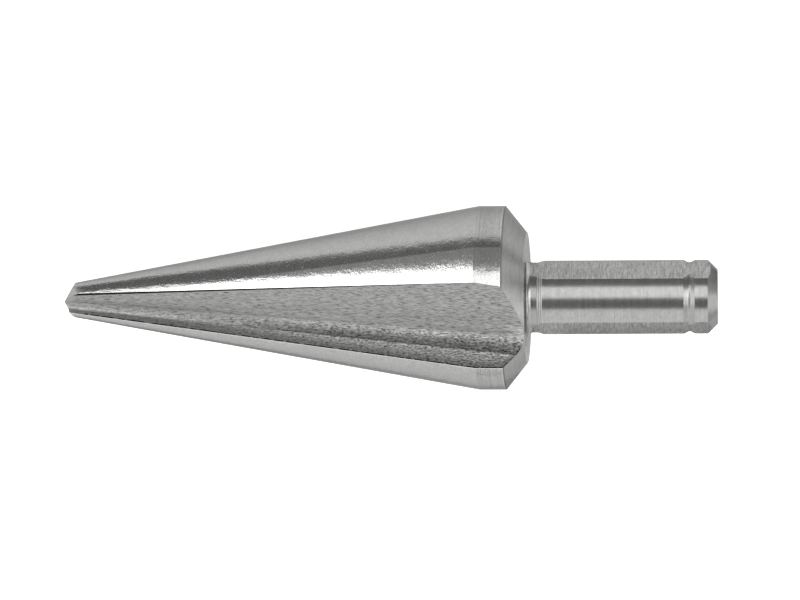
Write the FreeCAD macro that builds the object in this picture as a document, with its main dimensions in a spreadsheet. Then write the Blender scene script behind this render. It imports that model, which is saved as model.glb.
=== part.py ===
import FreeCAD, Part
import Sketcher
import os

# Cone drill bit for sheet metal and tube: one piece of ground high-speed steel with a
# four-facet point, a long cone with two straight flutes, a short parallel band at the full
# diameter, a chamfered back, a necked shank with three flats, a ring groove and an end chamfer.
# Inside the body the axis is Z, the point is at the origin and the shank runs up +Z.
# The whole bit is then laid down as it rests on a table: on the cutting edge and the heel
# corner of its lower flute, with the point low and the shank end in the air.

doc = FreeCAD.newDocument("ConeDrillBit")
sheet = doc.addObject("Spreadsheet::Sheet", "Dimensions")

# Name, value, note: lengths in millimetres, angles in degrees
driving = [
    ("total_length", "71.5", "apex to the end of the shank"),
    ("shank_dia", "8", "round of the shank, between its flats"),
    ("flat_depth", "0.335", "each flat under the round of the shank"),
    ("flat_bearing", "18", "first flat, around the axis behind the rake face"),
    ("flat_gap", "0.75", "back face to where the flats begin"),
    ("cutting_dia", "20", "largest diameter, over the parallel band"),
    ("point_dia", "3.81", "cone where its outline meets the point"),
    ("cone_start", "1.05", "apex to that place"),
    ("cone_end", "45.7", "apex to the end of the cone"),
    ("band_length", "2.9", "parallel band"),
    ("back_length", "2.3", "chamfer behind the band, along the axis"),
    ("back_dia", "14.2", "flat annular back face"),
    ("neck_dia", "7.6", "relief behind the back face"),
    ("neck_fillet", "0.7", "between back face and neck"),
    ("neck_end", "52.68", "apex to where the neck has risen to the shank"),
    ("neck_ramp", "0.62", "length of that rise"),
    ("groove_centre", "3.04", "shank end to the middle of the ring groove"),
    ("groove_width", "1.2", "ring groove at the surface"),
    ("groove_flank", "26.5", "slope of its flanks"),
    ("groove_radius", "0.34", "round at its bottom"),
    ("end_chamfer", "1.05", "45 degree chamfer on the shank end"),
    ("web_half", "0.77", "axis to the flute floor, at the apex"),
    ("web_end", "6.4368", "the same at the cone end"),
    ("floor_lean", "8.4", "flute floor beyond square to the rake face"),
    ("corner_radius", "0.7", "between flute floor and rake face, at the apex"),
    ("corner_end", "1.98", "the same at the cone end"),
    ("lip_bearing", "55", "steepest way down the lip facet, behind the lip"),
    ("lip_angle", "59.2", "lip facet to the axis"),
    ("lip_offset", "0", "apex to the lip facet, square to the axis"),
    ("heel_bearing", "129", "steepest way down the heel facet, behind the lip"),
    ("heel_angle", "26", "heel facet to the axis"),
    ("heel_offset", "1.06", "apex to the heel facet, square to the axis"),
    ("margin", "2", "how far a cut starts outside the blank"),
]

# Sizes that follow from the driving ones
derived = [
    ("cutting_radius", "=cutting_dia / 2", "cone end and band"),
    ("point_radius", "=point_dia / 2", "cone at its start"),
    ("shank_radius", "=shank_dia / 2", "shank round"),
    ("flat_distance", "=shank_radius - flat_depth", "shank axis to each flat"),
    ("cone_slope", "=(cutting_radius - point_radius) / (cone_end - cone_start)", "of the cone"),
    ("blank_front", "=-cone_start / 2", "front of the turned blank, cut away by the facets"),
    ("blank_radius", "=point_radius - cone_slope * (cone_start - blank_front)", "its radius there"),
    ("band_end", "=cone_end + band_length", "apex to the chamfered back"),
    ("back_face", "=band_end + back_length", "apex to the flat back face"),
    ("end_radius", "=shank_radius - end_chamfer", "flat end of the shank"),
    ("groove_middle", "=total_length - groove_centre", "apex to the ring groove"),
    ("reach", "=cutting_dia + margin", "how far a cut goes past the blank"),
    ("web_rise", "=(web_end - web_half) / cone_end", "growth of the web along the axis"),
    ("corner_rise", "=(corner_end - corner_radius) / cone_end", "growth of that radius"),
    ("half_opening", "=(acos(web_end / cutting_radius) / 1 deg + floor_lean) / 2",
     "half the angle that the flute spans at the cone end"),
    ("rest_tilt", "=atan(cone_slope * cos(half_opening)) / 1 deg", "axis to the table"),
    ("turn", "=180 + half_opening", "rake face of the upper flute, around the axis"),
    ("rest_height", "=point_radius * cos(half_opening) * cos(rest_tilt) - cone_start * sin(rest_tilt)",
     "apex to the table"),
    ("chisel_half", "=heel_offset / cos(heel_bearing - lip_bearing - 90)", "half the chisel edge"),
    ("chisel_lead", "=chisel_half * cos(turn + lip_bearing + 90) * sin(rest_tilt)",
     "its upper end lying down, ahead of the apex"),
    ("rest_reach", "=total_length * cos(rest_tilt) + end_radius * sin(rest_tilt)",
     "apex to the shank end lying down"),
]

sizes = driving + derived
for row, (name, value, note) in enumerate(sizes, start=1):
    sheet.set("A%d" % row, name)
    sheet.set("B%d" % row, value)
    sheet.set("C%d" % row, note)
    sheet.setAlias("B%d" % row, name)
doc.recompute()

body = doc.addObject("PartDesign::Body", "cone_drill_bit")
body.Label = "cone_drill_bit"


def cell(formula):
    """The formula with each name in it written as a reference to the sheet."""
    names = {name for name, value, note in sizes}
    out = ""
    word = ""
    for char in formula + " ":
        if char.isalnum() or char == "_":
            word += char
            continue
        out += "Dimensions." + word if word in names else word
        out += char
        word = ""
    return out.strip()


def value_of(formula):
    """The present value of a formula."""
    return float(body.evalExpression(cell(formula)))


def origin_item(role):
    """The body's own plane or axis of that role."""
    return next(item for item in body.Origin.OriginFeatures if item.Role == role)


def new_sketch(name, plane, upright, bearing):
    """A sketch on an origin plane, turned about the axis of the bit by a bearing."""
    sketch = body.newObject("Sketcher::SketchObject", name)
    sketch.AttachmentSupport = [(origin_item(plane), "")]
    sketch.MapMode = "FlatFace"
    start = FreeCAD.Rotation(upright, value_of(bearing))
    sketch.AttachmentOffset = FreeCAD.Placement(FreeCAD.Vector(), start)
    sketch.setExpression(".AttachmentOffset.Rotation.Angle", "(%s) * 1 deg" % cell(bearing))
    return sketch


def section_sketch(name, bearing):
    """A sketch in a plane through the axis: X outward, Y along the axis."""
    return new_sketch(name, "XZ_Plane", FreeCAD.Vector(0, 1, 0), bearing)


def cross_sketch(name, bearing, height):
    """A sketch square to the axis, at a height over the apex."""
    sketch = new_sketch(name, "XY_Plane", FreeCAD.Vector(0, 0, 1), bearing)
    sketch.setExpression(".AttachmentOffset.Base.z", "(%s) * 1 mm" % cell(height))
    return sketch


def outline(sketch, points):
    """A closed run of straight lines, each corner held at a pair of formulas."""
    doc.recompute()
    spots = [FreeCAD.Vector(value_of(across), value_of(along), 0) for across, along in points]
    lines = []
    for spot, following in zip(spots, spots[1:] + spots[:1]):
        lines.append(sketch.addGeometry(Part.LineSegment(spot, following), False))
    for line, following in zip(lines, lines[1:] + lines[:1]):
        sketch.addConstraint(Sketcher.Constraint("Coincident", line, 2, following, 1))
    for line, (across, along) in zip(lines, points):
        for kind, formula in (("DistanceX", across), ("DistanceY", along)):
            held = Sketcher.Constraint(kind, -1, 1, line, 1, value_of(formula))
            index = sketch.addConstraint(held)
            sketch.setExpression("Constraints[%d]" % index, cell(formula))
    return lines


def round_corner(sketch, line, radius):
    """A tangent arc at the end of a line, whose sharp corner keeps its place."""
    sketch.fillet(line, 2, value_of(radius), True, True)
    for number, item in enumerate(sketch.Geometry):
        if item.TypeId == "Part::GeomArcOfCircle":
            index = sketch.addConstraint(Sketcher.Constraint("Radius", number, value_of(radius)))
            sketch.setExpression("Constraints[%d]" % index, cell(radius))


def finish_feature(feature, cuts):
    """Makes a feature the body's newest, and checks that a cut takes material away."""
    before = body.Shape.Volume if cuts else 0.0
    body.Tip = feature
    doc.recompute()
    if cuts:
        assert body.Shape.Volume < before, feature.Name + " takes nothing away"


def turned(name, kind, sketch):
    """The sketch spun about the axis, as material or as a cut."""
    feature = body.newObject(kind, name)
    feature.Profile = sketch
    feature.ReferenceAxis = (sketch, ["V_Axis"])
    feature.Angle = 360.0
    finish_feature(feature, kind == "PartDesign::Groove")
    return feature


def pocket(name, sketch, length):
    """A cut to both sides of its sketch."""
    feature = body.newObject("PartDesign::Pocket", name)
    feature.Profile = sketch
    feature.Type = "Length"
    feature.SideType = "Symmetric"
    feature.Length = value_of(length)
    feature.setExpression("Length", cell(length))
    return feature


def repeat(name, feature, count):
    """The same cut again, evenly around the axis."""
    pattern = body.newObject("PartDesign::PolarPattern", name)
    pattern.Originals = [feature]
    pattern.Axis = (origin_item("Z_Axis"), [""])
    pattern.Angle = 360.0
    pattern.Occurrences = count
    finish_feature(pattern, True)
    return pattern


def ring_edge(feature, height, radius):
    """The name of a feature's round edge at a height and radius."""
    for number, edge in enumerate(feature.Shape.Edges, start=1):
        if edge.Curve.TypeId != "Part::GeomCircle":
            continue
        off_height = abs(edge.Curve.Center.z - value_of(height))
        off_radius = abs(edge.Curve.Radius - value_of(radius))
        if off_height + off_radius < 1e-4:
            return "Edge%d" % number
    raise ValueError("no round edge at " + height)


def make_blank():
    """The turned blank, from ahead of the point to the end of the shank."""
    sketch = section_sketch("BlankSection", "0")
    outline(sketch, [
        ("0", "blank_front"),
        ("blank_radius", "blank_front"),
        ("cutting_radius", "cone_end"),
        ("cutting_radius", "band_end"),
        ("back_dia / 2", "back_face"),
        ("neck_dia / 2", "back_face"),
        ("neck_dia / 2", "neck_end - neck_ramp"),
        ("shank_radius", "neck_end"),
        ("shank_radius", "total_length - end_chamfer"),
        ("end_radius", "total_length"),
        ("0", "total_length"),
    ])
    blank = turned("Blank", "PartDesign::Revolution", sketch)
    fillet = body.newObject("PartDesign::Fillet", "NeckFillet")
    fillet.Base = (blank, [ring_edge(blank, "back_face", "neck_dia / 2")])
    fillet.Radius = value_of("neck_fillet")
    fillet.setExpression("Radius", cell("neck_fillet"))
    finish_feature(fillet, False)


def make_ring_groove():
    """Shallow V groove near the shank end, with a round bottom."""
    sketch = section_sketch("GrooveSection", "0")
    lines = outline(sketch, [
        ("shank_radius + margin", "groove_middle - groove_width / 2 - margin / tan(groove_flank)"),
        ("shank_radius - groove_width / 2 * tan(groove_flank)", "groove_middle"),
        ("shank_radius + margin", "groove_middle + groove_width / 2 + margin / tan(groove_flank)"),
    ])
    round_corner(sketch, lines[0], "groove_radius")
    turned("RingGroove", "PartDesign::Groove", sketch)


def make_flutes():
    """Two straight flutes, each an open corner that climbs outward toward the shank.

    The rake face holds the axis. The floor leans back from it, and the web between the
    two floors and the round of the corner grow, until each flute runs out through the
    chamfered back."""
    sections = []
    for name, height in (("FluteFront", "-margin"), ("FluteBack", "(back_face + margin)")):
        root = "(web_half + web_rise * %s) / cos(floor_lean)" % height
        sketch = cross_sketch(name, "turn", height)
        lines = outline(sketch, [
            (root, "0"),
            ("reach", "0"),
            ("reach", "-reach"),
            (root + " - reach * tan(floor_lean)", "-reach"),
        ])
        round_corner(sketch, lines[3], "corner_radius + corner_rise * %s" % height)
        sections.append(sketch)
    flute = body.newObject("PartDesign::SubtractiveLoft", "Flute")
    flute.Profile = sections[0]
    flute.Sections = sections[1:]
    flute.Ruled = True
    finish_feature(flute, True)
    repeat("Flutes", flute, 2)


def make_facets(name, bearing, angle, offset):
    """A pair of ground facets: all that lies ahead of a leaning plane goes."""
    sketch = section_sketch(name + "Section", bearing)
    outline(sketch, [
        ("%s - margin * tan(%s)" % (offset, angle), "-margin"),
        ("%s + point_dia * tan(%s)" % (offset, angle), "-margin"),
        ("%s + point_dia * tan(%s)" % (offset, angle), "point_dia"),
    ])
    facet = pocket(name, sketch, "reach")
    finish_feature(facet, True)
    repeat(name + "s", facet, 2)


def make_flats(name, low, high):
    """Three flats around the shank between two heights, kept apart from what they join."""
    sketch = section_sketch(name + "Section", "turn + flat_bearing")
    outline(sketch, [
        ("flat_distance", low),
        ("shank_radius + margin", low),
        ("shank_radius + margin", high),
        ("flat_distance", high),
    ])
    flat = pocket(name, sketch, "reach")
    flat.Refine = False
    finish_feature(flat, True)
    repeat(name + "s", flat, 3).Refine = False
    doc.recompute()


def lay_down():
    """Tips the upright bit over, onto the cutting edge and heel of its lower flute."""
    lying = FreeCAD.Rotation(FreeCAD.Vector(0, 1, 0), value_of("90 - rest_tilt"))
    body.Placement = FreeCAD.Placement(FreeCAD.Vector(), lying)
    body.setExpression("Placement.Rotation.Angle", "(%s) * 1 deg" % cell("90 - rest_tilt"))
    body.setExpression("Placement.Base.x", "(%s) * 1 mm" % cell("(chisel_lead - rest_reach) / 2"))
    body.setExpression("Placement.Base.z", "(%s) * 1 mm" % cell("rest_height"))
    doc.recompute()


make_blank()
make_ring_groove()
make_flutes()
make_facets("LipFacet", "turn + lip_bearing", "lip_angle", "lip_offset")
make_facets("HeelFacet", "turn + heel_bearing", "heel_angle", "heel_offset")
make_flats("JawFlat", "neck_end", "groove_middle - groove_width / 2")
make_flats("Flat", "back_face + flat_gap", "total_length + margin")
lay_down()

for item in doc.Objects:
    assert "Invalid" not in item.State and "Error" not in item.State, item.Name
shape = body.Shape
assert not shape.isNull() and shape.isValid(), "the bit is not valid"
assert len(shape.Solids) == 1, "the bit is not one solid"

os.makedirs("parts", exist_ok=True)
shape.exportStep("parts/cone_drill_bit.step")
print("cone_drill_bit: volume %.1f mm3, %d faces" % (shape.Volume, len(shape.Faces)))
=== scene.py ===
from math import acos, atan, cos, degrees, pi, radians, sin, tan

import bpy
from mathutils import Matrix, Vector


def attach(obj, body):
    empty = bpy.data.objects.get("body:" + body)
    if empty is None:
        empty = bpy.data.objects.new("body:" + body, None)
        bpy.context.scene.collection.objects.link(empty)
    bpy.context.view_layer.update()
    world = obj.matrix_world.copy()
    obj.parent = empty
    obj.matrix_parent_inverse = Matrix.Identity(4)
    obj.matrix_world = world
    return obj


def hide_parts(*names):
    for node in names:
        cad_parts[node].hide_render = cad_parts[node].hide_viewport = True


# Cone drill bit: one piece of ground high-speed steel. It is built in its own millimetres, with
# the point at the origin and the shank up +Z, and laid down near the end of its tree.
# Bearings turn about the axis, in degrees behind the rake face of the upper flute.
# Stations run along the axis, from the apex.

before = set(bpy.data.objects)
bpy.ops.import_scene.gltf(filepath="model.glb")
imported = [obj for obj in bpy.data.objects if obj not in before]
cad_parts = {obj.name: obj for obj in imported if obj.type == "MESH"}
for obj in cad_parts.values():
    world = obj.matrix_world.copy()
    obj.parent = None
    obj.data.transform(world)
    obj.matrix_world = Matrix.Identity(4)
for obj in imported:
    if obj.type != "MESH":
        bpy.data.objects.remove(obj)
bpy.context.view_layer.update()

# ---------------------------------------------------------------- sizes, in mm and degrees

SIZES = {
    "Total length": 71.5,
    "Point radius": 1.905,
    "Cone start": 1.05,
    "Cone end": 45.7,
    "Cutting radius": 10,
    "Band end": 48.6,
    "Back face": 50.9,
    "Back radius": 7.1,
    "Neck radius": 3.8,
    "Neck fillet": 0.7,
    "Neck end": 52.68,
    "Neck ramp": 0.62,
    "Shank radius": 4,
    "Web half": 0.77,
    "Web end": 6.4368,
    "Floor lean": 8.4,
    "Corner radius": 0.7,
    "Corner end": 1.98,
    "Lip bearing": 55,
    "Lip angle": 59.2,
    "Heel bearing": 129,
    "Heel angle": 26,
    "Heel offset": 1.06,
    "Flat depth": 0.335,
    "Flat bearing": 18,
    "Flat gap": 0.75,
    "Groove middle": 68.46,
    "Groove width": 1.2,
    "Groove flank": 26.5,
    "Groove radius": 0.34,
    "End chamfer": 1.05,
}

CONE_SLOPE = ((SIZES["Cutting radius"] - SIZES["Point radius"])
              / (SIZES["Cone end"] - SIZES["Cone start"]))
BACK_SLOPE = ((SIZES["Cutting radius"] - SIZES["Back radius"])
              / (SIZES["Back face"] - SIZES["Band end"]))
LEAN = radians(SIZES["Floor lean"])
HALF_OPENING = (acos(SIZES["Web end"] / SIZES["Cutting radius"]) + LEAN) / 2
REST_TILT = atan(CONE_SLOPE * cos(HALF_OPENING))
TURN = pi + HALF_OPENING
END_RADIUS = SIZES["Shank radius"] - SIZES["End chamfer"]
CHISEL_HALF = SIZES["Heel offset"] / sin(radians(SIZES["Heel bearing"] - SIZES["Lip bearing"]))
CHISEL_LEAD = -CHISEL_HALF * sin(TURN + radians(SIZES["Lip bearing"])) * sin(REST_TILT)
REST_REACH = SIZES["Total length"] * cos(REST_TILT) + END_RADIUS * sin(REST_TILT)
REST_HEIGHT = (SIZES["Point radius"] * cos(HALF_OPENING) * cos(REST_TILT)
               - SIZES["Cone start"] * sin(REST_TILT))

MM = 0.001

# Sides of a turned ring, what counts as one point, the side of a cutting block, and the turn
# from which an edge is shaded sharp
TURNED_SIDES = 360
MERGE_DISTANCE = 0.0005
BLOCK_SIDE = 12.0
SHARP_FROM = 6

# How the bit lies: its turn, and where its apex is in the frame, in metres
LYING = Matrix.Rotation(pi / 2 - REST_TILT, 3, "Y") @ Matrix.Rotation(TURN, 3, "Z")
APEX = Vector(((CHISEL_LEAD - REST_REACH) / 2, 0, REST_HEIGHT)) * MM


# ---------------------------------------------------------------- node writing


class Wire:
    """A socket of a node tree. Python's operators on it add Math nodes."""

    def __init__(self, tree, socket=None):
        self.tree = tree
        self.socket = socket

    def node(self, kind, settings=None, inputs=None, output=0):
        """Adds a node: its settings first, then the values or links of its sockets."""
        added = self.tree.nodes.new(kind)
        for name, value in (settings or {}).items():
            setattr(added, name, value)
        for name, value in (inputs or {}).items():
            for one in value if isinstance(value, list) else [value]:
                if isinstance(one, Wire):
                    self.tree.links.new(one.socket, added.inputs[name])
                else:
                    added.inputs[name].default_value = one
        return Wire(self.tree, added.outputs[output])

    def other(self, output):
        """Another output of the same node."""
        return Wire(self.tree, self.socket.node.outputs[output])

    def math(self, operation, *others):
        """A Math node with this wire first."""
        values = dict(enumerate((self, *others)))
        return self.node("ShaderNodeMath", {"operation": operation}, values)

    def __add__(self, other):
        return self.math("ADD", other)

    def __sub__(self, other):
        return self.math("SUBTRACT", other)

    def __rsub__(self, other):
        return self.math("MULTIPLY_ADD", -1.0, other)

    def __mul__(self, other):
        return self.math("MULTIPLY", other)

    def __truediv__(self, other):
        return self.math("DIVIDE", other)

    def __lt__(self, other):
        return self.math("LESS_THAN", other)

    def __gt__(self, other):
        return self.math("GREATER_THAN", other)

    __radd__ = __add__
    __rmul__ = __mul__


# ---------------------------------------------------------------- finishes
# Tones are greys from 0 to 1, reliefs and borders are in mm, and 0.5 is the middle of a noise.


class Finish(Wire):
    """A steel of the bit: places on it as wires, patterns, and its shader."""

    def __init__(self, name):
        self.material = bpy.data.materials.new(name)
        self.material.use_nodes = True
        super().__init__(self.material.node_tree)
        self.shader = self.tree.nodes["Principled BSDF"]
        coordinate = self.node("ShaderNodeTexCoord", output="Object")
        spot = self.node("ShaderNodeMapping", {"vector_type": "TEXTURE"}, {
            "Vector": coordinate, "Location": APEX, "Rotation": LYING.to_euler(),
            "Scale": (MM, MM, MM)})
        self.ahead = self.node("ShaderNodeSeparateXYZ", inputs={"Vector": spot})
        self.behind = self.ahead.other(1)
        self.station = self.ahead.other(2)
        self.radius = (self.ahead * self.ahead + self.behind * self.behind).math("SQRT")
        self.cosine = self.ahead / self.radius
        self.sine = self.behind / self.radius

    def step(self, value, middle, soft):
        """0 below a middle, 1 above it, with a soft border."""
        return self.node("ShaderNodeMapRange", {"interpolation_type": "SMOOTHSTEP"}, {
            "Value": value, "From Min": middle - soft, "From Max": middle + soft})

    def noise(self, across, along, third, detail=4.0, rough=0.6):
        """Noise read at three coordinates, about 0 to 1."""
        spot = self.node("ShaderNodeCombineXYZ", inputs={0: across, 1: along, 2: third})
        return self.node("ShaderNodeTexNoise", {"noise_dimensions": "3D"}, {
            "Vector": spot, "Scale": 1.0, "Detail": detail, "Roughness": rough})

    def rings(self, fineness, patience, detail=4.0):
        """Noise in rings about the axis: so many per mm, and so long around."""
        return self.noise(self.station * fineness, self.cosine * patience, self.sine * patience,
                          detail)

    def cloud(self, fineness, detail=4.0):
        """Noise alike in all directions, so many patches per mm."""
        return self.noise(self.ahead * fineness, self.behind * fineness, self.station * fineness,
                          detail)

    def blank_radius(self):
        """Radius of the ground blank at this station, up to the back face."""
        cone = SIZES["Point radius"] + (self.station - SIZES["Cone start"]) * CONE_SLOPE
        back = SIZES["Cutting radius"] - (self.station - SIZES["Band end"]) * BACK_SLOPE
        return cone.math("MINIMUM", SIZES["Cutting radius"]).math("MINIMUM", back)

    def past_rake(self):
        """Distance behind the plane of the two rake faces, for either half, in mm."""
        return self.behind * self.ahead.math("SIGN")

    def corner_size(self):
        """Radius of the flute corner at this station."""
        growth = (SIZES["Corner end"] - SIZES["Corner radius"]) / SIZES["Cone end"]
        return SIZES["Corner radius"] + self.station * growth

    def finished(self, tone, roughness, relief):
        """Joins the finish to its shader: steel grey, roughness and relief in mm."""
        links = self.tree.links
        bump = self.node("ShaderNodeBump", inputs={
            "Strength": 1.0, "Distance": MM, "Height": relief})
        colour = self.node("ShaderNodeCombineColor", inputs={
            "Red": tone, "Green": tone, "Blue": tone * 0.985})
        links.new(colour.socket, self.shader.inputs["Base Color"])
        links.new(roughness.socket, self.shader.inputs["Roughness"])
        links.new(bump.socket, self.shader.inputs["Normal"])
        self.shader.inputs["Metallic"].default_value = 1.0
        self.shader.inputs["Specular Tint"].default_value = (0.55, 0.55, 0.55, 1)
        return self.material


def land_steel():
    """Cone and band: ground round, with a faint waviness, fine grain and small pits, and painted
    highlights along the cutting edge and at the end of the band.
    """
    steel = Finish("land_ground_steel")
    fine = steel.rings(9, 1.2)
    lines = steel.rings(6, 0.4)
    waves = steel.noise(steel.station * 0.3, steel.cosine * 3.2, steel.sine * 3.2, 3.0)
    ripple = steel.noise(steel.station * 0.9, steel.cosine * 11, steel.sine * 11, 2.0)
    grain = steel.cloud(5.0, 2.0)
    patches = steel.cloud(1.6, 3.0)
    pits = steel.step(steel.cloud(4.5, 2.0), 0.68, 0.03)
    band = steel.step(steel.station, SIZES["Cone end"], 0.05)
    off_axis = steel.step(steel.ahead.math("ABSOLUTE"), 1.5, 0.1)
    # Painted highlight: the land is lighter along its cutting edge, a painted glint of the edge.
    painted_edge_glint = (1 - steel.step(steel.past_rake(), 0.07, 0.03)) * off_axis
    # Painted highlight: a lighter strip at the end of the band, a painted glint of its edge.
    painted_rim_line = steel.step(steel.station, SIZES["Band end"] - 0.16, 0.03)
    tone = 0.39 * (1 + (fine - 0.5) * 0.2 + (grain - 0.5) * 0.55 + (patches - 0.5) * 0.3)
    tone = tone + pits * 0.12 + painted_edge_glint * 0.3 + painted_rim_line * 0.08 + band * ((lines - 0.5) * 0.28 - 0.04)
    roughness = 0.15 + fine * 0.06 + patches * 0.04 + pits * 0.12
    relief = waves * 0.03 + ripple * 0.021 + grain * 0.011 + fine * 0.0005
    return steel.finished(tone, roughness, relief)


def flute_steel():
    """Flute floor, corner and rake face: ground along the length, with painted shade along its
    edges and in the corner, and painted highlights on the corner fillet and rake face.
    """
    steel = Finish("flute_ground_steel")
    slow = steel.noise(steel.station * 0.25, steel.behind * 3, steel.ahead * 3)
    streaks = steel.noise(steel.station * 0.8, steel.behind * 9, steel.ahead * 9, 2.0)
    short = steel.noise(steel.station * 1.1, steel.behind * 9, steel.ahead * 9, 2.0)
    scratches = steel.step(short, 0.61, 0.04)
    grain = steel.noise(steel.station * 3, steel.behind * 6, steel.ahead * 6, 2.0)
    off_rake = steel.past_rake().math("ABSOLUTE")
    in_corner = off_rake / steel.corner_size()
    corner = 1 - steel.step(in_corner, 0.7, 0.3)
    rake = 1 - steel.step(off_rake, 0.5, 0.1)
    off_edge = steel.blank_radius() - steel.radius
    # Painted shade and highlights of the flute, faded in from the point: a dark strip where the
    # rake face turns into the corner, a lighter corner fillet beyond it, and a lighter rake face
    # away from its outer edge.
    painted_corner_shade = steel.step(in_corner, 0.04, 0.02) * (1 - steel.step(in_corner, 0.28, 0.14))
    painted_rake_highlight = (1 - steel.step(in_corner, 0.04, 0.02)) * steel.step(off_edge, 0.8, 0.6)
    painted_fillet_highlight = steel.step(in_corner, 0.45, 0.15) * (1 - steel.step(in_corner, 1.35, 0.35))
    painted_flute_shading = (painted_fillet_highlight * 0.4 - painted_corner_shade * 0.65 + painted_rake_highlight * 0.8) * steel.step(steel.station, 20, 12)
    # Painted shade: a dark, rougher line along the heel edge, narrowing and ending towards the
    # band, and a dashed one along the cutting edge.
    dashes = steel.step(steel.rings(1.1, 0.1, 1.0), 0.44, 0.05) * steel.step(steel.station, 2, 0.4)
    heel_line_end = steel.step(steel.station, 42, 2.5)
    heel_line = (0.26 - steel.station * 0.0045) * (1 - heel_line_end)
    painted_edge_shade_width = rake * dashes * 0.18 + (1 - rake) * heel_line
    painted_edge_shade = 1 - steel.step(off_edge - painted_edge_shade_width, 0.0, 0.02)
    marks = (streaks - 0.5) * (1.2 + steel.station * 0.02)
    specks = corner * (grain - 0.5) * (1.1 + steel.station * 0.058)
    tone = 0.3 * (1 + (slow - 0.5) * 0.2 + marks + specks)
    tone = (tone - scratches * 0.15) * (1 + painted_flute_shading)
    # The rake face is painted a little lighter, a painted highlight.
    tone = tone * (1 + rake * 0.12) * (1 - painted_edge_shade * 0.95)
    roughness = 0.32 + streaks * 0.10 + corner * 0.10 + painted_edge_shade * 0.3
    relief = streaks * 0.002 + short * 0.002 + corner * grain * 0.008
    return steel.finished(tone.math("MAXIMUM", 0.02), roughness, relief)


def turned_steel():
    """Back chamfer, back face, neck, groove and end chamfer: turned, with a painted shade line
    past the band and a painted highlight on the back face.
    """
    steel = Finish("turned_steel")
    fine = steel.noise(steel.station * 7, steel.cosine * 0.8, steel.sine * 0.8)
    cloud = steel.cloud(1.3)
    grain = steel.cloud(6.0, 2.0)
    past_neck = steel.station - (SIZES["Neck end"] - SIZES["Neck ramp"])
    ramp = steel.step(past_neck, 0.0, 0.03) * (1 - steel.step(past_neck, SIZES["Neck ramp"], 0.03))
    tool_line = steel.step((past_neck * 5.0).math("FRACT"), 0.62, 0.12)
    # Painted shade: a dark line on the back chamfer just past the edge of the band.
    painted_rim_line = 1 - steel.step(steel.station, SIZES["Band end"] + 0.14, 0.04)
    past_back = steel.station - SIZES["Back face"]
    # Painted highlight: the back face and the start of the neck fillet are lighter.
    face = steel.step(past_back, -0.02, 0.01) * (1 - steel.step(past_back, 0.3, 0.2))
    chamfer = steel.step(steel.station, SIZES["Total length"] - SIZES["End chamfer"], 0.05)
    tone = 0.315 * (1 + (fine - 0.5) * 0.4 + (cloud - 0.5) * 0.3 + (grain - 0.5) * 0.3)
    tone = tone * (1 - chamfer * 0.05 - painted_rim_line * 0.4) + ramp * (0.1 + tool_line * 0.35) + face * 0.26
    return steel.finished(tone, 0.22 + fine * 0.1 + ramp * 0.2 + chamfer * 0.06, fine * 0.003)


def faced_steel():
    """Flat end of the shank: faced off, with circles around the middle."""
    steel = Finish("faced_steel")
    circles = steel.noise(steel.radius * 6, steel.cosine * 0.6, steel.sine * 0.6)
    cloud = steel.cloud(1.1)
    tone = 0.34 * (1 + (circles - 0.5) * 0.5 + (cloud - 0.5) * 0.25)
    return steel.finished(tone, 0.30 + circles * 0.14, circles * 0.006)


def shank_steel():
    """Round of the shank: ground round."""
    steel = Finish("shank_ground_steel")
    fine = steel.rings(8, 1.0)
    cloud = steel.cloud(1.2)
    grain = steel.cloud(5.0, 2.0)
    tone = 0.36 * (1 + (fine - 0.5) * 0.4 + (cloud - 0.5) * 0.3 + (grain - 0.5) * 0.25)
    return steel.finished(tone, 0.19 + fine * 0.08, fine * 0.001 + cloud * 0.008 + grain * 0.001)


def flat_steel():
    """Shank flats: ground across, matte."""
    steel = Finish("flat_ground_steel")
    lines = steel.noise(steel.station * 8, steel.ahead * 0.9, steel.behind * 0.9)
    grain = steel.cloud(5.0, 2.0)
    tone = 0.37 * (1 + (lines - 0.5) * 2.0 + (grain - 0.5) * 0.9)
    return steel.finished(tone, 0.42 + lines * 0.12, lines * 0.004 + grain * 0.002)


def point_steel():
    """Point facets: ground flat."""
    steel = Finish("point_ground_steel")
    lines = steel.noise(steel.station * 9, steel.ahead * 4, steel.behind * 4)
    return steel.finished(0.32 * (1 + (lines - 0.5) * 0.7), 0.30 + lines * 0.1, lines * 0.003)


# ---------------------------------------------------------------- the bit


def new_tree(name, sizes):
    """A Geometry Nodes tree whose inputs are named sizes, and those inputs as wires."""
    tree = bpy.data.node_groups.new(name, "GeometryNodeTree")
    tree.interface.new_socket("Geometry", in_out="OUTPUT", socket_type="NodeSocketGeometry")
    for size, value in sizes.items():
        socket = tree.interface.new_socket(size, in_out="INPUT", socket_type="NodeSocketFloat")
        socket.default_value = value
    group = tree.nodes.new("NodeGroupInput")
    return tree, {size: Wire(tree, group.outputs[size]) for size in sizes}


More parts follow.
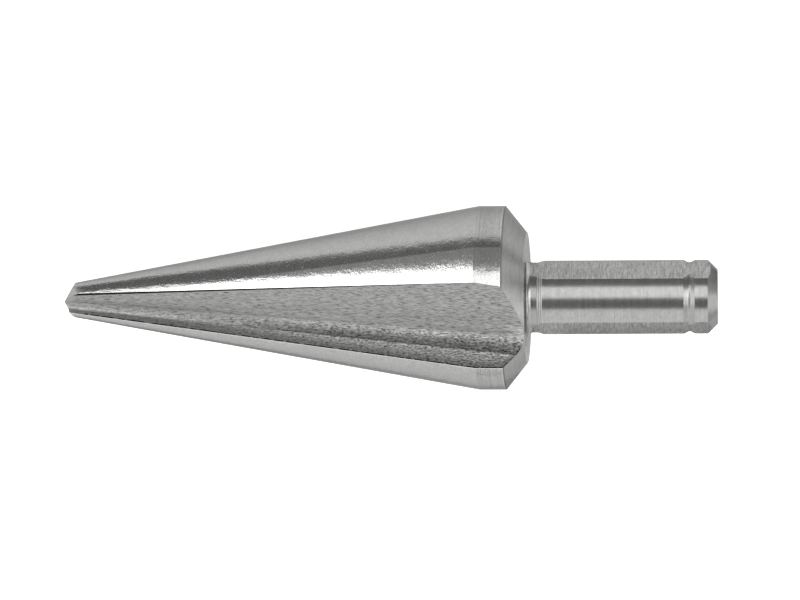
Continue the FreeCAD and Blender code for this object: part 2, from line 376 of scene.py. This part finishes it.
class Workshop(Wire):
    """The tree of the bit: turned rings, cutters, and what is done with them."""

    def moved(self, geometry, shift=(0, 0, 0), spin=(0, 0, 0), scale=(1, 1, 1)):
        return self.node("GeometryNodeTransform", inputs={
            "Geometry": geometry, "Translation": shift, "Rotation": spin, "Scale": scale})

    def vector(self, x, y, z):
        return self.node("ShaderNodeCombineXYZ", inputs={0: x, 1: y, 2: z})

    def painted(self, geometry, material, where=True):
        return self.node("GeometryNodeSetMaterial", inputs={
            "Geometry": geometry, "Selection": where, "Material": material})

    def ring(self, low, high, low_radius, high_radius, material):
        """One turned surface between two stations."""
        cone = self.node("GeometryNodeMeshCone", {"fill_type": "NONE"}, {
            "Vertices": TURNED_SIDES, "Radius Bottom": low_radius, "Radius Top": high_radius,
            "Depth": high - low})
        return self.painted(self.moved(cone, shift=self.vector(0, 0, low)), material)

    def joined(self, pieces):
        return self.node("GeometryNodeJoinGeometry", inputs={"Geometry": pieces})

    def merged(self, geometry):
        return self.node("GeometryNodeMergeByDistance", inputs={
            "Geometry": geometry, "Distance": MERGE_DISTANCE})

    def around(self, geometry, count):
        """Copies of a cutter, evenly about the axis."""
        points = self.node("GeometryNodePoints", inputs={"Count": count})
        index = self.node("GeometryNodeInputIndex")
        return self.node("GeometryNodeInstanceOnPoints", inputs={
            "Points": points, "Instance": geometry,
            "Rotation": self.vector(0, 0, index * (2 * pi / count))})

    def block(self, width, height):
        return self.node("GeometryNodeMeshCube", inputs={
            "Size": self.vector(width, width, height)})


def turn_of(angle):
    """Cosine and sine of an angle, a number or a wire."""
    if isinstance(angle, Wire):
        return angle.math("COSINE"), angle.math("SINE")
    return cos(angle), sin(angle)


def arc(station, radius, size, start, stop, count):
    """Stations and radii along an arc of the profile, about its centre."""
    spots = []
    for step in range(count + 1):
        along, out = turn_of(start + (stop - start) * (step / count))
        spots.append((station + size * along, radius + size * out))
    return spots


def blank_profile(size, land, turned, shank):
    """Stations and radii of the turned blank, each with the finish that follows it."""
    slope = ((size["Cutting radius"] - size["Point radius"])
             / (size["Cone end"] - size["Cone start"]))
    # The blank starts a little ahead of the apex, and the point facets cut that away
    nose = -0.5 * size["Cone start"]
    nose_radius = size["Point radius"] - slope * (size["Cone start"] - nose)
    fillet = size["Neck fillet"]
    neck = arc(size["Back face"] + fillet, size["Neck radius"] + fillet, fillet, -pi, -pi / 2, 20)
    flank = radians(1) * size["Groove flank"]
    groove_half = size["Groove width"] / 2
    groove_centre = (size["Shank radius"] - groove_half * flank.math("TANGENT")
                     + size["Groove radius"] / flank.math("COSINE"))
    groove = arc(size["Groove middle"], groove_centre, size["Groove radius"],
                 -pi / 2 - flank, -pi / 2 + flank, 12)
    return [
        (nose, 0.0, turned),
        (nose, nose_radius, land),
        (size["Cone end"], size["Cutting radius"], land),
        (size["Band end"], size["Cutting radius"], turned),
        (size["Back face"], size["Back radius"], turned),
        *[(station, radius, turned) for station, radius in neck],
        (size["Neck end"] - size["Neck ramp"], size["Neck radius"], turned),
        (size["Neck end"], size["Shank radius"], shank),
        (size["Groove middle"] - groove_half, size["Shank radius"], turned),
        *[(station, radius, turned) for station, radius in groove],
        (size["Groove middle"] + groove_half, size["Shank radius"], shank),
        (size["Total length"] - size["End chamfer"], size["Shank radius"], turned),
        (size["Total length"], size["Shank radius"] - size["End chamfer"], turned),
        (size["Total length"], 0.0, turned),
    ]


def flute_cutter(shop, size):
    """A rounded corner drawn out along the axis, growing and climbing outward.

    It is drawn with a corner of 1 mm, which is then scaled to the size of each station."""
    lean = radians(1) * size["Floor lean"]
    reach, front = 20.0, 4.0
    corner = shop.node("GeometryNodeCurvePrimitiveQuadrilateral", {"mode": "POINTS"}, {
        "Point 1": (0, 0, 0), "Point 2": (reach, 0, 0), "Point 3": (reach, -reach, 0),
        "Point 4": shop.vector(-reach * lean.math("TANGENT"), -reach, 0)})
    index = shop.node("GeometryNodeInputIndex")
    rounded = shop.node("GeometryNodeFilletCurve", {"mode": "POLY"}, {
        "Curve": corner, "Count": 24, "Radius": index < 0.5})
    face = shop.node("GeometryNodeFillCurve", {"mode": "NGONS"}, {"Curve": rounded})
    drawn = shop.node("GeometryNodeExtrudeMesh", {"mode": "FACES"}, {
        "Mesh": face, "Offset": shop.vector(0, 0, size["Back face"] + 2 * front),
        "Individual": False})
    lid = shop.node("GeometryNodeFlipFaces", inputs={"Mesh": face})
    wedge = shop.moved(shop.merged(shop.joined([drawn, lid])), shift=(0, 0, -front))
    position = shop.node("GeometryNodeInputPosition")
    across = shop.node("ShaderNodeSeparateXYZ", inputs={"Vector": position})
    station = across.other(2)
    share = station / size["Cone end"]
    growth = size["Corner radius"] + share * (size["Corner end"] - size["Corner radius"])
    web = size["Web half"] + share * (size["Web end"] - size["Web half"])
    root = web / lean.math("COSINE")
    return shop.node("GeometryNodeSetPosition", inputs={
        "Geometry": wedge,
        "Position": shop.vector(root + across * growth, across.other(1) * growth, station)})


def facet_cutter(shop, bearing, angle, offset):
    """A block whose inner face lies on a facet of the point."""
    block = shop.moved(shop.block(BLOCK_SIDE, BLOCK_SIDE), shift=(BLOCK_SIDE / 2, 0, 0))
    tipped = shop.moved(block, spin=shop.vector(0, radians(1) * angle, 0),
                        shift=shop.vector(offset, 0, 0))
    return shop.moved(tipped, spin=shop.vector(0, 0, radians(1) * bearing))


def flat_cutter(shop, size):
    """A block outside the first shank flat."""
    past_end = 2
    low, high = size["Back face"] + size["Flat gap"], size["Total length"] + past_end
    slab = shop.moved(shop.block(BLOCK_SIDE, high - low), shift=shop.vector(
        size["Shank radius"] - size["Flat depth"] + BLOCK_SIDE / 2, 0, (low + high) / 2))
    return shop.moved(slab, spin=shop.vector(0, 0, radians(1) * size["Flat bearing"]))


def bit_tree():
    """The turned blank, less flutes, point facets and shank flats."""
    land, flute, turned, faced = land_steel(), flute_steel(), turned_steel(), faced_steel()
    shank, flat, point = shank_steel(), flat_steel(), point_steel()
    tree, size = new_tree("cone_drill_bit", SIZES)
    shop = Workshop(tree)

    profile = blank_profile(size, land, turned, shank)
    rings = [shop.ring(low, high, low_radius, high_radius, material)
             for (low, low_radius, material), (high, high_radius, _) in zip(profile, profile[1:])]
    blank = shop.merged(shop.joined(rings))

    flutes = shop.around(shop.painted(flute_cutter(shop, size), flute), 2)
    lips = facet_cutter(shop, size["Lip bearing"], size["Lip angle"], 0.0)
    heels = facet_cutter(shop, size["Heel bearing"], size["Heel angle"], size["Heel offset"])
    cutters = [flutes, shop.around(shop.painted(lips, point), 2),
               shop.around(shop.painted(heels, point), 2),
               shop.around(shop.painted(flat_cutter(shop, size), flat), 3)]
    ground = shop.node("GeometryNodeMeshBoolean", {"operation": "DIFFERENCE", "solver": "EXACT"}, {
        "Mesh 1": blank, "Mesh 2": cutters})

    position = shop.node("GeometryNodeInputPosition")
    station = shop.node("ShaderNodeSeparateXYZ", inputs={"Vector": position}, output=2)
    marked = shop.node("GeometryNodeStoreNamedAttribute", {
        "data_type": "BOOLEAN", "domain": "FACE"}, {
        "Geometry": shop.merged(ground), "Name": "shank_end",
        "Value": station > size["Total length"] - 0.01})
    lying = shop.moved(marked, shift=APEX, spin=LYING.to_euler(), scale=(MM, MM, MM))
    real = shop.node("GeometryNodeRealizeInstances", inputs={"Geometry": lying})
    shank_end = shop.node("GeometryNodeInputNamedAttribute", {"data_type": "BOOLEAN"}, {
        "Name": "shank_end"})
    last = tree.nodes.new("NodeGroupOutput")
    tree.links.new(shop.painted(real, faced, shank_end).socket, last.inputs[0])
    return tree


def grown(name, tree, sizes):
    """The mesh that a tree makes, as a plain object at the origin."""
    piece = bpy.data.objects.new(name, bpy.data.meshes.new(name + "_seed"))
    bpy.context.scene.collection.objects.link(piece)
    modifier = piece.modifiers.new("tree", "NODES")
    modifier.node_group = tree
    for socket in tree.interface.items_tree:
        if socket.in_out == "INPUT":
            modifier[socket.identifier] = float(sizes[socket.name])
    evaluated = piece.evaluated_get(bpy.context.evaluated_depsgraph_get())
    mesh = bpy.data.meshes.new_from_object(evaluated)
    piece.modifiers.remove(modifier)
    piece.data = mesh
    mesh.name = name
    return piece


bit = grown("cone_drill_bit_dressed", bit_tree(), SIZES)
bit.data.shade_smooth()
bit.data.set_sharp_from_angle(angle=radians(SHARP_FROM))
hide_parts("cone_drill_bit")
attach(bit, "root")

# ---------------------------------------------------------------- floor, light and camera

# Directions of the lying bit in the frame, and the middle of its axis
DOWN = LYING @ Vector((cos(TURN), -sin(TURN), 0))
ALONG = LYING @ Vector((0, 0, 1))
SIDE = Vector((0, 1, 0))
MIDDLE = APEX + ALONG * (SIZES["Total length"] / 2 * MM)

# Where the upper rake face, measured, and then the table lie in the camera's picture, in
# degrees of sight()
RAKE_SIGHT = -48.83
DOWN_SIGHT = RAKE_SIGHT + degrees(TURN)


def sight(angle):
    """Direction square to the axis: 0 to the camera, 90 up in its picture."""
    return DOWN * cos(radians(angle - DOWN_SIGHT)) - SIDE * sin(radians(angle - DOWN_SIGHT))


def sheet(name, corners, faces, material):
    """A piece of the studio, made of a few flat faces."""
    mesh = bpy.data.meshes.new(name)
    mesh.from_pydata(corners, [], faces)
    mesh.materials.append(material)
    piece = bpy.data.objects.new(name, mesh)
    bpy.context.scene.collection.objects.link(piece)
    return piece


def plain_paint(name, tone):
    """Matte grey paint that can glow, a wire of its tree to write with, and its shader."""
    paint = bpy.data.materials.new(name)
    paint.use_nodes = True
    shader = paint.node_tree.nodes["Principled BSDF"]
    shader.inputs["Base Color"].default_value = (tone, tone, tone, 1)
    shader.inputs["Roughness"].default_value = 1.0
    shader.inputs["Specular IOR Level"].default_value = 0.0
    shader.inputs["Emission Strength"].default_value = 1.0
    return paint, Wire(paint.node_tree), shader


def make_floor():
    """White floor, brought up to white where the camera or the steel sees it."""
    paint, wire, shader = plain_paint("floor_white", 0.84)
    rays = wire.node("ShaderNodeLightPath")
    seen = rays.math("MAXIMUM", rays.other("Is Transmission Ray"))
    seen_lift, mirrored_lift = 0.62, 0.16
    lift = seen * seen_lift + rays.other("Is Glossy Ray") * mirrored_lift
    colour = wire.node("ShaderNodeCombineColor", inputs={"Red": lift, "Green": lift, "Blue": lift})
    wire.tree.links.new(colour.socket, shader.inputs["Emission Color"])
    side = 3.0
    sheet("floor", [(-side, -side, 0), (side, -side, 0), (side, side, 0), (-side, side, 0)],
          [(0, 1, 2, 3)], paint)


def make_card(name, low, high, plan):
    """A card standing beside the bit, a glowing painted reflection that only its polished steel
    shows.

    It goes from one grey at its foot to another at its top. The plan gives each corner of
    its foot and the height of the card there, in mm."""
    paint, wire, shader = plain_paint(name, 0.02)
    share = wire.node("ShaderNodeAttribute", {"attribute_name": "share"}, output="Fac")
    grey = low + share * (high - low)
    colour = wire.node("ShaderNodeCombineColor", inputs={"Red": grey, "Green": grey, "Blue": grey})
    wire.tree.links.new(colour.socket, shader.inputs["Emission Color"])
    corners, faces = [], []
    for spot, (x, y, height) in enumerate(plan):
        corners += [(x * MM, y * MM, 0), (x * MM, y * MM, height * MM)]
        if spot:
            faces.append((2 * spot - 2, 2 * spot, 2 * spot + 1, 2 * spot - 1))
    card = sheet(name, corners, faces, paint)
    shares = card.data.attributes.new("share", "FLOAT", "POINT")
    shares.data.foreach_set("value", [0.0, 1.0] * len(plan))
    card.visible_camera = False
    card.visible_diffuse = False
    card.visible_shadow = False
    card.visible_transmission = False


def panel(name, place, along, facing, length, width, radiance):
    """A soft panel: its place, the way its length runs and where it faces from."""
    data = bpy.data.lights.new(name, "AREA")
    data.shape = "RECTANGLE"
    data.size = length
    data.size_y = width
    data.energy = radiance * pi * length * width
    lamp = bpy.data.objects.new(name, data)
    lamp.location = place
    lamp.rotation_euler = Matrix((along, facing.cross(along), facing)).transposed().to_euler()
    bpy.context.scene.collection.objects.link(lamp)


def long_panel(name, angle, opening, length, shift, radiance, spin):
    """A panel along the bit, that fills an opening of directions around the axis.

    Angle, opening and spin are in degrees, length and shift along the bit in metres."""
    distance = 0.6
    facing = sight(angle)
    along = Matrix.Rotation(radians(spin), 3, facing) @ ALONG
    panel(name, MIDDLE + facing * distance + ALONG * shift, along, facing, length,
          2 * distance * tan(radians(opening / 2)), radiance)


def make_light():
    """Soft panels, each named after what it lights on the bit, in a dim grey room."""
    for name, angle, opening, length, shift, radiance, spin in (
            ("panel_low", -72, 70, 1.6, 0.0, 1.1, 0),
            ("panel_cone", 27.6, 32.6, 0.4, -0.4, 3.2, -39),
            ("panel_shank", 15, 36, 0.9, 0.36, 1.6, 0),
            ("panel_flute", -17, 36, 0.36, -0.29, 0.9, 0),
            ("panel_groove", -5, 60, 0.7, 0.62, 1.9, 0),
            ("panel_ramp", -5, 60, 0.4, -0.75, 1.7, 0)):
        long_panel(name, angle, opening, length, shift, radiance, spin)
    panel("panel_end", Vector((0.5, -0.1, 0.11)), SIDE, Vector((1, 0, 0)), 0.3, 0.2, 1.6)
    panel("panel_point", Vector((-0.5, 0, 0.16)), SIDE, Vector((-1, 0, 0)), 0.4, 0.3, 0.8)
    room_grey = 0.17
    world = bpy.data.worlds.new("studio")
    bpy.context.scene.world = world
    world.use_nodes = True
    background = world.node_tree.nodes["Background"]
    background.inputs["Color"].default_value = (room_grey, room_grey, room_grey, 1)


def make_camera():
    """Camera at the photograph's place: distance, yaw and roll in the bit's own frame."""
    yaw, roll, distance = 0.0994, 0.0054, 384
    rightward, downward = 1.217, 0.18
    upward, outward = sight(90), sight(0)
    back = ALONG * sin(yaw) + outward * cos(yaw)
    level = ALONG * cos(yaw) - outward * sin(yaw)
    right = level * cos(roll) - upward * sin(roll)
    top = level * sin(roll) + upward * cos(roll)
    camera = bpy.data.objects.new("camera", bpy.data.cameras.new("camera"))
    camera.data.sensor_width = 36
    camera.data.lens = 158.4
    camera.location = MIDDLE + (back * distance + right * rightward - top * downward) * MM
    camera.rotation_euler = Matrix((right, top, back)).transposed().to_euler()
    bpy.context.scene.collection.objects.link(camera)
    bpy.context.scene.camera = camera


make_floor()
# Painted shade in the steel's reflection: a grey card for the floor's shade beside the lower side
# of the cone.
make_card("painted_shade_skirt_card", 0.45, 0.85, [
    (-36, -3, 2), (3, -12, 9.5), (12, -13.5, 11), (17, -13.5, 11)])
# Painted shade in the steel's reflection: a grey card for the floor's shade beside the lower flat.
make_card("painted_shade_front_card", 0.5, 0.5, [(18, -8, 11.5), (37, -8, 14.5)])
# Painted light in the steel's reflection: a bright glowing card that the chamfers mirror.
make_card("painted_light_chamfer_card", 2.1, 2.1, [(150, -36, 32), (150, 5, 32)])
# Painted shade in the steel's reflection: a dark card that the lands mirror above their highlight.
make_card("painted_shade_land_card", 0.2, 0.22, [
    (-36, 5.5, 4.8), (-29.4, 11.6, 8.3), (-25.3, 16.2, 10.7), (-18.5, 29.5, 17),
    (-9.1, 50.6, 37), (6, 95, 80), (20, 120, 80), (160, 130, 75)])
# Painted shade in the steel's reflection: a grey card for the shade beside the shank end, which
# the chamfers mirror.
make_card("painted_shade_end_card", 0.33, 0.33, [(44, 4, 14.5), (44, 8, 14.5), (44, 8.1, 6), (44, 22, 6)])
make_light()
make_camera()
bpy.context.scene.view_settings.view_transform = "Standard"
